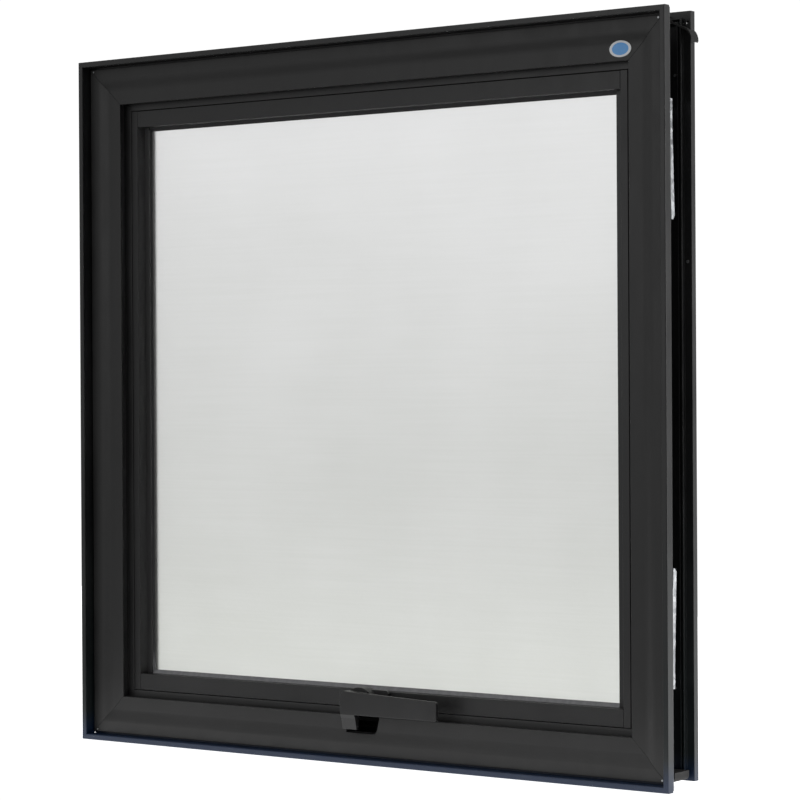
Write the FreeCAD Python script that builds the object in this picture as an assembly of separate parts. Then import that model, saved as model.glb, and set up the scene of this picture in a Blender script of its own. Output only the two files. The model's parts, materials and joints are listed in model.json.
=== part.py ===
import FreeCAD, Part
import math
import os

# Top-hung projecting window of black aluminium: outer frame with mitred room-side trim, glazed
# sash on two side stays, cam lever handle at the middle of the bottom rail, masonry anchor straps.
# Millimetres, +Z up. The room is on the -Y side and the weather on the +Y side. X = 0 is the middle
# of the width, Z = 0 the underside of the frame and Y = 0 half way through its depth.
# Cross-sections are drawn in (u, v): u runs inwards from the outer edge, v back from the lip's front.

V = FreeCAD.Vector

# ---- overall ----
WIDTH = 600.0
HEIGHT = 600.0
DEPTH = 46.0
WALL = 1.5                 # extruded walls of the frame and the sash's legs
REST_GAP = 0.2             # between closed faces that meet and part again

# ---- outer frame ----
LIP_WIDTH = 4.7
LIP_DEPTH = 7.3
LIP_WALL = 1.3
LIP_ROUND = 0.8            # rounding of the lip's front edges
BARB_REACH = 3.5
BARB_SET = 0.4             # how far the barb stands in from the lip's outer face
FRONT_WALL = 1.4           # wall behind the trim
WEB_U = 22.0               # outer face of the web that carries the stays
WEB_WALL = 1.6
STOP_DEPTH = 3.4
BACK_FLANGE = 6.0          # thickness of the hollow back flange
SILL_FLANGE_RISE = 5.0     # the sill's back flange stops this far above the lip's underside
HEAD_FLANGE_DROP = 0.8     # the head's back flange sits this far inside the lip's outer plane
FLUTE_U, FLUTE_WIDTH, FLUTE_DEPTH, FLUTE_SLOT, FLUTE_FLOOR = 6.5, 3.9, 4.0, 1.7, 0.8
DRIP_LEG = 7.9             # weather leg that hangs from the head
UPSTAND_RISE = 1.9         # weather upstand of the sill, in front of the sash's cover flange
UPSTAND_GAP = 1.3
VENT_R, VENT_PITCH, VENT_U, VENT_DROP = 1.5, 4.4, 3.0, 9.8
FRAME_CLEAT_U, FRAME_CLEAT_REACH = 9.5, 46.0

# ---- room-side trim ----
TRIM_GAP = 1.8             # groove between the lip and the trim
TRIM_SKIN = 1.3
TRIM_V = 9.0
TRIM_STEP = 2.5            # the inner flat lies this much deeper than the outer one
TRIM_OUTER_FLAT, TRIM_OGEE = 9.5, 11.0
OGEE_STEEPNESS = 0.5       # half of the overlap of the ogee's two bends
TRIM_EDGE = 1.5            # the trim's edge laps the stop's edge by this much
TRIM_EDGE_SET = 1.0        # and stops this far before the stop's back
TRIM_ROUND = 0.5
MITRE_GAP = 0.12
PIN_R, PIN_INSET, PIN_ALONG, PIN_PROUD = 0.8, 8.4, 10.5, 0.4

# ---- seal and keeper on the stop ----
FRAME_SEAL, FRAME_SEAL_LAP, FRAME_SEAL_LIP = 2.2, 2.0, 0.6
KEEPER_WALL, KEEPER_PLAY = 1.2, 0.8
KEEPER_OPENING = 31.6      # width of the opening that the handle's nose works in
KEEPER_TAPER, KEEPER_CORNER = 3.2, 3.0
KEEPER_TOP_SET = 0.2
EAR_LENGTH, EAR_HEIGHT = 9.0, 10.0
EAR_SCREW_RISE, EAR_SCREW_HEAD_R, EAR_SCREW_HEAD = 6.0, 2.6, 1.2

# ---- jamb rubbers and label ----
FLAP_THICK, FLAP_WIDTH = 1.3, 5.0
FLAP_LINE = [(-19.0, -3.5), (-11.0, -10.0), (-5.5, -12.6), (-0.5, -15.2), (2.6, -19.5), (3.4, -24.0)]
PLUG_U, PLUG_LIFT, PLUG_HEIGHT, PLUG_CORNER = 2.5, 1.5, 7.5, 4.0
LABEL_INSET, LABEL_U, LABEL_HALF_X, LABEL_HALF_Z, LABEL_THICK = 46.0, 29.5, 9.8, 6.4, 0.25

# ---- sash ----
STAY_ROOM = 10.4           # between the frame's web and the sash, where the stays fold
SASH_TUBE = 10.4
SASH_WALL = 1.4
SASH_ROUND = 0.4
COVER_GAP = 1.5            # between the cover flange and the frame's web
STOP_COVER = 3.4           # how far the stop laps the sash
SASH_CLEAT_REACH = 40.0
GLASS = 4.0
GLASS_EDGE = 3.1           # edge clearance of the pane in its rebate
SEAL_OUT, SEAL_OUT_WIDTH = 2.5, 8.0
BEAD_GAP = 0.5
BEAD_WIDTH = 14.3
BEAD_DEPTH = 8.1
BEAD_WALL = 1.3
BEAD_ROUND = 0.4
BEAD_FLAT_SIDE = 6.6       # width of the upright beads' flat before their bevel
BEAD_BEVEL = 3.0
BEAD_BEVEL_BACK = 1.0
BEAD_LEDGE_V = 6.8
BEAD_JOINT = 0.3           # open joint between level and upright beads
CLIP_V, CLIP = 5.0, 1.0    # foot that clips the bead to the sash tube
LEG_SHORT = 0.7            # the rebate's leg ends this far before the bead's edge
SEAL_SHOW_UPRIGHT, SEAL_SHOW_LEVEL = 1.3, 3.3
SEAL_IN, SEAL_LAP, SEAL_TIP = 1.9, 2.0, 0.4
BLOCK_HALF_LEVEL, BLOCK_HALF_UPRIGHT = 15.0, 12.0

# ---- stays ----
STAY_ARM = 120.0           # pivot to pivot, also sash pivot to shoe
STAY_BACK = 12.0           # from the sash's front face to the line of the stay
STAY_STRIP = 12.0
STRIP_THICK, STRIP_GAP = 2.0, 0.4
TRACK_BASE, TRACK_HEIGHT, TRACK_LIP, TRACK_SIDE, TRACK_LIP_THICK = 1.2, 4.0, 1.3, 1.2, 1.0
TRACK_FOOT, TRACK_TOP_GAP = 18.0, 1.2
TRACK_SCREW_LOW, TRACK_SCREW_MIDDLE, TRACK_SCREW_PAST_SHOE = 12.0, 45.0, 6.0
STAY_SCREW_R, STAY_SCREW_HEAD_R, STAY_SCREW_HEAD = 1.75, 2.9, 1.2
SHOE_LENGTH, SHOE_PLAY, SHOE_PROUD = 14.0, 0.2, 0.6
SHOE_RISE = 2.0            # the shoe's pivot stands this far above the sash's top edge
BAR_TOP_SET = 0.6
PIVOT_R, PIVOT_PLAY, PIVOT_HEAD_R, PIVOT_HEAD, PIVOT_SPACER_R = 2.5, 0.06, 4.0, 1.2, 3.4
PIVOT_SIDE_PLAY = 0.2
OPEN_PIVOT_PLAY = 0.3      # left sash pivot, which closes the linkage

# ---- handle, measured from its pivot ----
HANDLE_X, HANDLE_ABOVE_TRIM = -2.4, 12.6
PLATE_LEFT_R, PLATE_REACH = 11.3, 86.7
PLATE_DOWN, PLATE_UP_LEFT, PLATE_UP_RIGHT = 11.1, 8.4, 4.6
PLATE_THICK, PLATE_V, PLATE_CORNER, PLATE_ROUND = 3.0, 0.3, 2.0, 0.7
HUB_BACK, HUB_FALL = 8.8, 0.9
NOSE_LEFT, NOSE_WIDTH, NOSE_DOWN, NOSE_BACK = 10.3, 14.2, 23.5, 7.0
NOSE_LEAN, NOSE_SHOULDER, NOSE_ROOT = 3.7, 1.6, 3.0
NOSE_DIP = 1.7             # how far the nose sinks while the sash swings out
BASE_HALF, BASE_DOWN, BASE_UP, BASE_THICK, BASE_CORNER = 25.0, 10.2, 9.0, 4.0, 3.0
BASE_SCREW_INSET, BASE_SCREW_HEAD_R, BASE_SCREW_HEAD = 5.5, 3.0, 1.4
BOSS_HALF, BOSS_UP, BOSS_DOME, BOSS_V = 13.5, 10.9, 7.0, 9.5
HANDLE_PIN_R, HANDLE_PIN_PLAY, HANDLE_PIN_DEPTH = 3.0, 0.05, 2.0
PIN_DISC_R, PIN_DISC, PIN_DISC_PLAY = 4.8, 1.4, 0.2
WASHER_R = 7.0

# ---- anchors ----
STRAP_WIDTH, STRAP_THICK, STRAP_LENGTH = 12.0, 1.5, 93.0
STRAP_U = 8.9             # outer face of the strap at its fold
STRAP_TILT = 1.3           # degrees that the free length leans out of the channel
STRAP_GAP = 0.3            # between the strap and the frame's front wall
STRAP_CORNER = 2.5
ROOT_LENGTH = 18.0         # riveted end, up to the fold
FORK_SLIT, FORK_GAP = 15.0, 2.6
ANCHOR_TOP_DROP, ANCHOR_BOTTOM_RISE = 69.0, 77.0
RIVET_R, RIVET_HEAD_R, RIVET_HEAD, RIVET_DROP = 1.6, 4.0, 2.4, 6.0
RIVET_DOME = 2.1           # rounding of the rivet's head
RIVET_TAIL_R, RIVET_TAIL = 2.4, 0.8
FLANGE_SCREW_R, FLANGE_SCREW_HEAD = 1.2, 0.8
FLANGE_SCREW_PLACES = [(13.9, 50.0), (3.6, 194.0)]     # from the jamb's edge and from the top

# ---- derived places ----
WEB_IN = WEB_U + WEB_WALL                  # inner face of the web
SASH_U = WEB_IN + STAY_ROOM                # outer edge of the sash tube
SASH_IN = SASH_U + SASH_TUBE
STOP_U = SASH_U + STOP_COVER               # inner edge of the stop that the sash closes on
TRIM_U = LIP_WIDTH + TRIM_GAP
TRIM_IN = STOP_U + TRIM_EDGE               # inner edge of the trim
OGEE_START = TRIM_U + TRIM_OUTER_FLAT
OGEE_END = OGEE_START + TRIM_OGEE
FRONT_WALL_V = TRIM_V + TRIM_STEP + TRIM_SKIN
FRONT_WALL_BACK = FRONT_WALL_V + FRONT_WALL
STOP_V = FRONT_WALL_BACK + STOP_DEPTH      # back of the stop, where its seal starts
SASH_V = STOP_V + FRAME_SEAL + REST_GAP    # front face of the sash
BEAD_BACK = SASH_V + BEAD_DEPTH
BEAD_U = SASH_IN + BEAD_GAP
BEAD_EDGE = BEAD_U + BEAD_WIDTH
GLASS_V = BEAD_BACK + SEAL_IN
GLASS_BACK = GLASS_V + GLASS
GLASS_INSET = SASH_IN + GLASS_EDGE
LEG_U = BEAD_EDGE - LEG_SHORT
LEG_V = GLASS_BACK + SEAL_OUT
STAY_V = SASH_V + STAY_BACK
SHOE_Z = HEIGHT - SASH_U + SHOE_RISE
SASH_PIVOT_Z = SHOE_Z - STAY_ARM
FRAME_PIVOT_Z = SHOE_Z - 2 * STAY_ARM
WEB_X = WIDTH / 2 - WEB_IN                 # inner face of the right jamb's web
STILE_X = WIDTH / 2 - SASH_U               # outer edge of the right stile
ARM_X1 = STILE_X + STRIP_THICK + STRIP_GAP     # inner face of the right arm
ARM_X2 = ARM_X1 + STRIP_THICK
TRACK_BOTTOM = FRAME_PIVOT_Z - TRACK_FOOT
TRACK_END = HEIGHT - WEB_IN - TRACK_TOP_GAP
HANDLE_Z = TRIM_IN + HANDLE_ABOVE_TRIM
PLATE_BOTTOM = HANDLE_Z - PLATE_DOWN
BASE_BOTTOM, BASE_TOP = HANDLE_Z - BASE_DOWN, HANDLE_Z + BASE_UP
BASE_V = SASH_V - BASE_THICK
NOSE_X = HANDLE_X - NOSE_LEFT              # left side of the nose
NOSE_BOTTOM = HANDLE_Z - NOSE_DOWN
KEEPER_X = NOSE_X - KEEPER_PLAY            # left side of the keeper's opening
KEEPER_BOTTOM = NOSE_BOTTOM - NOSE_DIP - KEEPER_PLAY
STRAP_V = FRONT_WALL_BACK + STRAP_GAP
ANCHOR_TOP = HEIGHT - ANCHOR_TOP_DROP
FOLD_Z = ANCHOR_TOP - ROOT_LENGTH

CLEAR = 1.0                # overrun of a cutting shape past the face that it cuts
TOUCH = 0.01               # two places closer than this are the same


def box(x0, x1, v0, v1, z0, z1):
    return Part.makeBox(x1 - x0, v1 - v0, z1 - z0, V(x0, v0, z0))


def side_box(u0, u1, v0, v1, z0, z1):
    """Box beside the right jamb, with u from its outer edge."""
    return box(WIDTH / 2 - u1, WIDTH / 2 - u0, v0, v1, z0, z1)


def fuse(pieces):
    return pieces[0].multiFuse(pieces[1:]).removeSplitter()


def group(pieces):
    return Part.makeCompound(pieces)


def rod(radius, start, end):
    start, end = V(*start), V(*end)
    return Part.makeCylinder(radius, (end - start).Length, start, end - start)


def extrude(edges, path):
    solid = Part.Face(Part.Wire(edges)).extrude(path)
    if solid.Volume < 0:
        solid.reverse()
    return solid


def polygon(points):
    ring = points + points[:1]
    return [Part.LineSegment(a, b).toShape() for a, b in zip(ring, ring[1:])]


def flip_x(shape):
    return shape.mirror(V(0, 0, 0), V(1, 0, 0))


def flip_z(shape):
    return shape.mirror(V(0, 0, HEIGHT / 2), V(0, 0, 1))


# A bar is drawn as the sill lies: along X, u upwards from Z = 0, v along Y.

def wall(length, u0, v0, u1, v1):
    return box(-length / 2, length / 2, v0, v1, u0, u1)


def bar(length, points):
    return extrude(polygon([V(-length / 2, v, u) for u, v in points]), V(length, 0, 0))


def mitre_zone(length, gap=0.0):
    """The part of the bar that its two 45 degree end cuts leave."""
    reach, half = BEAD_EDGE + SASH_TUBE, length / 2 - gap
    corners = [(-half, 0), (half, 0), (half - reach, reach), (reach - half, reach)]
    return extrude(polygon([V(x, -CLEAR, z) for x, z in corners]), V(0, DEPTH + 2 * CLEAR, 0))


def soften(shape, radius, places):
    """Round the lengthwise edges of a bar that run through the given (u, v) places."""
    def runs_through(edge, u, v):
        low, high = V(0, v, u), edge.BoundBox
        return max(abs(high.YMin - low.y), abs(high.YMax - low.y),
                   abs(high.ZMin - low.z), abs(high.ZMax - low.z)) < TOUCH

    return shape.makeFillet(radius, [edge for edge in shape.Edges
                                     if any(runs_through(edge, u, v) for u, v in places)])


def place(shape, side):
    """Turn a bar drawn as the sill to its own side of the window."""
    if side == "head":
        return flip_z(shape)
    if side in ("left", "right"):
        shape.translate(V(0, 0, -WIDTH / 2))
        shape.rotate(V(0, 0, 0), V(0, 1, 0), -90)
        shape.translate(V(0, 0, HEIGHT / 2))
    return flip_x(shape) if side == "left" else shape


def bar_length(side):
    return WIDTH if side in ("sill", "head") else HEIGHT


# ---------------------------------------------------------------- frame

def frame_member(side):
    length = bar_length(side)
    flange_u = {"sill": SILL_FLANGE_RISE, "head": HEAD_FLANGE_DROP}.get(side, 0.0)
    flange_v = DEPTH - BACK_FLANGE
    neck = LIP_WIDTH - LIP_WALL
    slot_u = FLUTE_U + (FLUTE_WIDTH - FLUTE_SLOT) / 2
    lip = soften(wall(length, 0, 0, LIP_WIDTH, LIP_DEPTH), LIP_ROUND, [(0, 0), (LIP_WIDTH, 0)])
    barb_tip = (BARB_SET + 1.0, LIP_DEPTH + BARB_REACH)
    pieces = [
        lip.cut(wall(length, LIP_WALL, LIP_WALL, neck, LIP_DEPTH - LIP_WALL)),
        bar(length, [(BARB_SET, LIP_DEPTH), barb_tip, (LIP_WIDTH - BARB_SET, LIP_DEPTH)]),
        wall(length, neck, LIP_DEPTH, LIP_WIDTH, FRONT_WALL_BACK),
        wall(length, neck, FRONT_WALL_V, STOP_U, FRONT_WALL_BACK),
        wall(length, STOP_U - WALL, FRONT_WALL_V, STOP_U, STOP_V),
        wall(length, WEB_U, FRONT_WALL_V, WEB_IN, DEPTH),
        wall(length, flange_u, flange_v, WEB_IN, DEPTH).cut(
            wall(length, flange_u + WALL, flange_v + WALL, WEB_U - WALL, DEPTH - WALL)),
        wall(length, FLUTE_U, flange_v - FLUTE_DEPTH, FLUTE_U + FLUTE_WIDTH, flange_v).cut(
            wall(length, slot_u, flange_v - FLUTE_DEPTH, slot_u + FLUTE_SLOT, flange_v - FLUTE_FLOOR)),
    ]
    if side == "head":
        pieces.append(wall(length, WEB_IN, DEPTH - WALL, WEB_IN + DRIP_LEG, DEPTH))
    if side == "sill":
        upstand_back = DEPTH - WALL - UPSTAND_GAP
        pieces.append(wall(length, WEB_IN, upstand_back - WALL, WEB_IN + UPSTAND_RISE, upstand_back))
    member = fuse(pieces).common(mitre_zone(length))
    if side == "sill":
        member = member.cut(nose_opening(KEEPER_WALL))
    member = place(member, side)
    if side in ("left", "right"):
        beyond = WIDTH / 2 + CLEAR
        past = DEPTH + CLEAR
        member = member.cut(box(-beyond, beyond, LIP_DEPTH + BARB_REACH, past, -CLEAR, SILL_FLANGE_RISE))
        member = member.cut(box(-beyond, beyond, flange_v, past, HEIGHT - HEAD_FLANGE_DROP, HEIGHT + CLEAR))
        for x, z in vent_places():
            member = member.cut(rod(VENT_R, (x, flange_v - CLEAR, z), (x, past, z)))
    return member


def vent_places():
    """Two small holes through the back flange at the top of each jamb."""
    xs = [WIDTH / 2 - VENT_U, WIDTH / 2 - VENT_U - VENT_PITCH]
    return [(sign * x, HEIGHT - VENT_DROP) for sign in (-1, 1) for x in xs]


def nose_opening(grow=0.0):
    """Opening in the sill's stop and trim that the handle's nose works in, from the front to the sash."""
    top = SASH_IN
    left, bottom = KEEPER_X - grow, KEEPER_BOTTOM - grow
    right = KEEPER_X + KEEPER_OPENING + grow
    outline = [V(left, 0, bottom), V(right - KEEPER_TAPER, 0, bottom), V(right, 0, STOP_U),
               V(right, 0, top), V(left, 0, top)]
    opening = extrude(polygon(outline), V(0, SASH_V, 0))
    corner = [edge for edge in opening.Edges
              if edge.BoundBox.XLength < TOUCH and edge.BoundBox.ZLength < TOUCH
              and abs(edge.BoundBox.XMin - right + KEEPER_TAPER) < TOUCH]
    return opening.makeFillet(KEEPER_CORNER + grow, corner)


def frame_cleats():
    """Angle cleats in the hollow of the back flange, one in each corner."""
    u0, u1, reach = FRAME_CLEAT_U, WEB_U - WALL, FRAME_CLEAT_REACH
    v0, v1 = DEPTH - BACK_FLANGE + WALL, DEPTH - WALL
    lower = fuse([side_box(u0, u0 + reach, v0, v1, u0, u1), side_box(u0, u1, v0, v1, u0, u0 + reach)])
    right = [lower, flip_z(lower)]
    return group(right + [flip_x(piece) for piece in right])


def trim_skin(x0, x1, v_front, thickness):
    """Skin that follows the trim's face: outer flat, S-shaped step and inner flat."""
    def at(u, v):
        return V(x0, v, u)

    def step(v):
        middle = (OGEE_START + OGEE_END) / 2
        shape = Part.BezierCurve()
        shape.setPoles([at(OGEE_START, v), at(middle - OGEE_STEEPNESS, v),
                        at(middle + OGEE_STEEPNESS, v + TRIM_STEP), at(OGEE_END, v + TRIM_STEP)])
        return shape.toShape()

    def line(a, b, c, d):
        return Part.LineSegment(at(a, b), at(c, d)).toShape()

    deep, back = v_front + TRIM_STEP, v_front + thickness
    deep_back = back + TRIM_STEP
    edges = [line(TRIM_U, back, TRIM_U, v_front), line(TRIM_U, v_front, OGEE_START, v_front), step(v_front),
             line(OGEE_END, deep, TRIM_IN, deep), line(TRIM_IN, deep, TRIM_IN, deep_back),
             line(TRIM_IN, deep_back, OGEE_END, deep_back), step(back), line(OGEE_START, back, TRIM_U, back)]
    return extrude(edges, V(x1 - x0, 0, 0))


def trim_member(side):
    length = bar_length(side)
    member = fuse([
        trim_skin(-length / 2, length / 2, TRIM_V, TRIM_SKIN),
        wall(length, TRIM_U, TRIM_V, TRIM_U + TRIM_SKIN, FRONT_WALL_V),
        wall(length, STOP_U, FRONT_WALL_V - TRIM_SKIN / 2, TRIM_IN, STOP_V - TRIM_EDGE_SET),
    ])
    member = soften(member, TRIM_ROUND, [(TRIM_U, TRIM_V), (TRIM_IN, TRIM_V + TRIM_STEP)])
    member = member.common(mitre_zone(length, MITRE_GAP))
    if side == "sill":
        member = member.cut(nose_opening(KEEPER_WALL))
    if side in ("sill", "head"):
        for sign in (-1, 1):
            x = sign * (WIDTH / 2 - PIN_ALONG)
            member = member.cut(rod(PIN_R, (x, TRIM_V - CLEAR, PIN_INSET), (x, FRONT_WALL_V, PIN_INSET)))
    return place(member, side)


def trim_pins():
    """Short pins that hold the trim near each mitre."""
    pins = []
    for sign in (-1, 1):
        x = sign * (WIDTH / 2 - PIN_ALONG)
        pins.append(rod(PIN_R, (x, TRIM_V - PIN_PROUD, PIN_INSET), (x, FRONT_WALL_V, PIN_INSET)))
    return group(pins + [flip_z(pin) for pin in pins])


def frame_seal():
    """Rubber strip on the stop, all round, open where the nose passes."""
    u0, u1 = STOP_U - FRAME_SEAL_LAP, STOP_U + FRAME_SEAL_LIP
    return ring(u0, u1, u1, STOP_V, STOP_V + FRAME_SEAL).cut(nose_opening(KEEPER_WALL))


def keeper_screw_places():
    left = KEEPER_X - KEEPER_WALL - EAR_LENGTH / 2
    right = KEEPER_X + KEEPER_OPENING + KEEPER_WALL + EAR_LENGTH / 2
    z = KEEPER_BOTTOM - KEEPER_WALL + EAR_SCREW_RISE
    return [(left, z), (right, z)]


def latch_keeper():
    """Keeper that lines the nose's opening, with an ear on each side behind the stop's wall."""
    back, bottom, top = FRONT_WALL_BACK, KEEPER_BOTTOM - KEEPER_WALL, STOP_U - KEEPER_TOP_SET
    left = KEEPER_X - KEEPER_WALL - EAR_LENGTH
    right = KEEPER_X + KEEPER_OPENING + KEEPER_WALL + EAR_LENGTH
    channel = nose_opening(KEEPER_WALL).common(box(left, right, FRONT_WALL_V, STOP_V, bottom, top))
    ears = box(left, right, back, back + KEEPER_WALL, bottom, bottom + EAR_HEIGHT)
    keeper = fuse([channel, ears]).cut(nose_opening())
    for x, z in keeper_screw_places():
        keeper = keeper.cut(rod(RIVET_R, (x, back - CLEAR, z), (x, back + KEEPER_WALL + CLEAR, z)))
    return keeper


def keeper_screws():
    front, back = FRONT_WALL_BACK, FRONT_WALL_BACK + KEEPER_WALL
    return group([fuse([rod(RIVET_R, (x, front, z), (x, back, z)),
                        rod(EAR_SCREW_HEAD_R, (x, back, z), (x, back + EAR_SCREW_HEAD, z))])
                  for x, z in keeper_screw_places()])


def sealing_flap():
    """Curved rubber flap across the top of the jamb's channel; its tail laps the flange's edge."""
    edge_x, flange_v = WIDTH / 2, DEPTH - BACK_FLANGE
    v0 = flange_v - FLAP_WIDTH
    outer = [(edge_x + x, HEIGHT + z) for x, z in FLAP_LINE]
    inner = [(x - FLAP_THICK / 2, z - FLAP_THICK) for x, z in outer]

    def curve(points):
        shape = Part.BSplineCurve()
        shape.interpolate([V(x, v0, z) for x, z in points])
        return shape.toShape()

    ends = [Part.LineSegment(V(a[0], v0, a[1]), V(b[0], v0, b[1])).toShape()
            for a, b in ((outer[-1], inner[-1]), (inner[0], outer[0]))]
    flap = extrude([curve(outer), ends[0], curve(inner), ends[1]], V(0, DEPTH - v0, 0))
    flute_v, u0, u1 = flange_v - FLUTE_DEPTH, FLUTE_U, FLUTE_U + FLUTE_WIDTH
    return flap.cut([side_box(u0, u1, flute_v, flange_v, 0, HEIGHT),
                     box(0, edge_x, flute_v, flange_v, HEIGHT - u1, HEIGHT - u0),
                     box(0, edge_x + REST_GAP, flange_v, DEPTH + CLEAR, 0, HEIGHT)])


def corner_plug():
    """Sealing block at the foot of the jamb's channel."""
    v0, v1 = FRONT_WALL_BACK, DEPTH - BACK_FLANGE - FLUTE_DEPTH
    z0 = SILL_FLANGE_RISE + PLUG_LIFT
    block = side_box(PLUG_U, WEB_U, v0, v1, z0, z0 + PLUG_HEIGHT)
    lower = [edge for edge in block.Edges
             if edge.BoundBox.XMin > WIDTH / 2 - PLUG_U - TOUCH and edge.BoundBox.ZMax < z0 + TOUCH]
    return block.makeFillet(PLUG_CORNER, lower)


def trim_label():
    """Plain oval sticker on the head's trim, with nothing printed on it."""
    x, z = WIDTH / 2 - LABEL_INSET, HEIGHT - LABEL_U
    reach = LABEL_HALF_X + CLEAR
    skin = place(trim_skin(x - reach, x + reach, TRIM_V - LABEL_THICK, LABEL_THICK), "head")
    oval = Part.Ellipse(V(x, 0, z), LABEL_HALF_X, LABEL_HALF_Z).toShape()
    oval.rotate(V(x, 0, z), V(1, 0, 0), 90)
    return skin.common(extrude([oval], V(0, DEPTH, 0)))


# ---------------------------------------------------------------- masonry anchors
# Each anchor is drawn for the top of the right jamb: riveted end up, free end hanging down.

def anchor_root():
    """Riveted end of the strap on its foot, which stands on the web of the jamb."""
    v0, v1 = STRAP_V, STRAP_V + STRAP_WIDTH
    seat = STRAP_U + STRAP_THICK
    root = side_box(STRAP_U, seat, v0, v1, FOLD_Z, ANCHOR_TOP)
    leg = side_box(seat, WEB_U, v0, v1, ANCHOR_TOP - STRAP_THICK, ANCHOR_TOP)
    foot = side_box(WEB_U - STRAP_THICK, WEB_U, v0, v1, FOLD_Z, ANCHOR_TOP)
    x, v, z = rivet_place()
    return fuse([root, leg, foot]).cut(rod(RIVET_R, (WIDTH / 2 - WEB_U - CLEAR, v, z), (x + CLEAR, v, z)))


def rivet_place():
    return WIDTH / 2 - STRAP_U, STRAP_V + STRAP_WIDTH / 2, ANCHOR_TOP - RIVET_DROP


def anchor_rivet():
    x, v, z = rivet_place()
    seat = x - STRAP_THICK
    foot_in = WIDTH / 2 - WEB_U
    foot_out = foot_in + STRAP_THICK

    def disc(radius, x0, x1):
        return rod(radius, (x0, v, z), (x1, v, z))

    def head(face):
        top = face + RIVET_HEAD
        plain = disc(RIVET_HEAD_R, face, top)
        return plain.makeFillet(RIVET_DOME, [edge for edge in plain.Edges if edge.BoundBox.XMin > top - TOUCH])

    upper = fuse([disc(RIVET_R, seat - RIVET_TAIL, x), head(x), disc(RIVET_TAIL_R, seat - RIVET_TAIL, seat)])
    lower = fuse([disc(RIVET_R, foot_in, foot_out), head(foot_out)])
    return [upper, lower]


def anchor_strap():
    """Free length of the strap, from the fold to its forked end, leaning a little out of the channel."""
    v0, v1 = STRAP_V, STRAP_V + STRAP_WIDTH
    tip = ANCHOR_TOP - STRAP_LENGTH
    middle = (v0 + v1) / 2
    outline = [(v0, FOLD_Z), (v1, FOLD_Z), (v1, tip + STRAP_CORNER), (v1 - STRAP_CORNER, tip),
               (middle + FORK_GAP / 2, tip), (middle + FORK_GAP / 2, tip + FORK_SLIT),
               (middle - FORK_GAP / 2, tip + FORK_SLIT), (middle - FORK_GAP / 2, tip),
               (v0 + STRAP_CORNER, tip), (v0, tip + STRAP_CORNER)]
    x = WIDTH / 2 - STRAP_U
    strap = extrude(polygon([V(x - STRAP_THICK, v, z) for v, z in outline]), V(STRAP_THICK, 0, 0))
    strap.rotate(V(x, 0, FOLD_Z), V(0, 1, 0), -STRAP_TILT)
    return strap


def bottom_of(shape):
    """The lower anchor of the same jamb: upside down, at its own height."""
    turned = flip_z(shape)
    turned.translate(V(0, 0, ANCHOR_BOTTOM_RISE - ANCHOR_TOP_DROP))
    return turned


def at_four_places(shapes):
    right = list(shapes) + [bottom_of(shape) for shape in shapes]
    return right + [flip_x(shape) for shape in right]


def flange_screws():
    """Small screws on the room side of each jamb's back flange."""
    v = DEPTH - BACK_FLANGE
    screws = []
    for u, drop in FLANGE_SCREW_PLACES:
        x, z = WIDTH / 2 - u, HEIGHT - drop
        screws.append(rod(FLANGE_SCREW_R, (x, v - FLANGE_SCREW_HEAD, z), (x, v, z)))
    return group(screws + [flip_x(screw) for screw in screws])


# ---------------------------------------------------------------- sash

def sash_member(side):
    length = bar_length(side)
    tube = soften(wall(length, SASH_U, SASH_V, SASH_IN, DEPTH), SASH_ROUND,
                  [(SASH_U, SASH_V), (SASH_IN, SASH_V)])
    pieces = [
        tube.cut(wall(length, SASH_U + SASH_WALL, SASH_V + SASH_WALL,
                      SASH_IN - SASH_WALL, DEPTH - SASH_WALL)),
        wall(length, SASH_IN - SASH_WALL, LEG_V, LEG_U, LEG_V + WALL),
    ]
    if side != "head":
        pieces.append(wall(length, WEB_IN + COVER_GAP, DEPTH - WALL, SASH_U + SASH_WALL, DEPTH))
    member = place(fuse(pieces).common(mitre_zone(length)), side)
    half = WIDTH / 2
    return member.cut(box(-half, half, 0, DEPTH + CLEAR, HEIGHT - SASH_U, HEIGHT))


def sash_cleats():
    """Corner blocks in the sash tubes."""
    u0, u1, reach = SASH_U + SASH_WALL, SASH_IN - SASH_WALL, SASH_CLEAT_REACH
    v0, v1 = SASH_V + SASH_WALL, DEPTH - SASH_WALL
    lower = fuse([side_box(u0, u0 + reach, v0, v1, u0, u1), side_box(u0, u1, v0, v1, u0, u0 + reach)])
    right = [lower, flip_z(lower)]
    return group(right + [flip_x(piece) for piece in right])


def glass_pane():
    u = GLASS_INSET
    return box(u - WIDTH / 2, WIDTH / 2 - u, GLASS_V, GLASS_BACK, u, HEIGHT - u)


def ring(u_outer, u_side, u_level, v0, v1):
    """Flat ring with its own inner edge on the uprights and on the level stretches."""
    outer = box(u_outer - WIDTH / 2, WIDTH / 2 - u_outer, v0, v1, u_outer, HEIGHT - u_outer)
    return outer.cut(box(u_side - WIDTH / 2, WIDTH / 2 - u_side, 0, DEPTH, u_level, HEIGHT - u_level))


def inner_seal():
    """Wedge gasket between the beads and the pane; its visible face slopes to the glass."""
    u0 = BEAD_EDGE - SEAL_LAP
    sides = []
    for side in ("sill", "head", "left", "right"):
        show = SEAL_SHOW_LEVEL if side in ("sill", "head") else SEAL_SHOW_UPRIGHT
        u1 = BEAD_EDGE + show
        outline = [(u0, BEAD_BACK), (BEAD_EDGE, BEAD_BACK), (u1, GLASS_V - SEAL_TIP),
                   (u1, GLASS_V), (u0, GLASS_V)]
        sides.append(place(bar(bar_length(side) - 2 * u0, outline), side))
    return fuse(sides)


def outer_seal():
    return ring(LEG_U - SEAL_OUT_WIDTH, LEG_U, LEG_U, GLASS_BACK, LEG_V)


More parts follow.
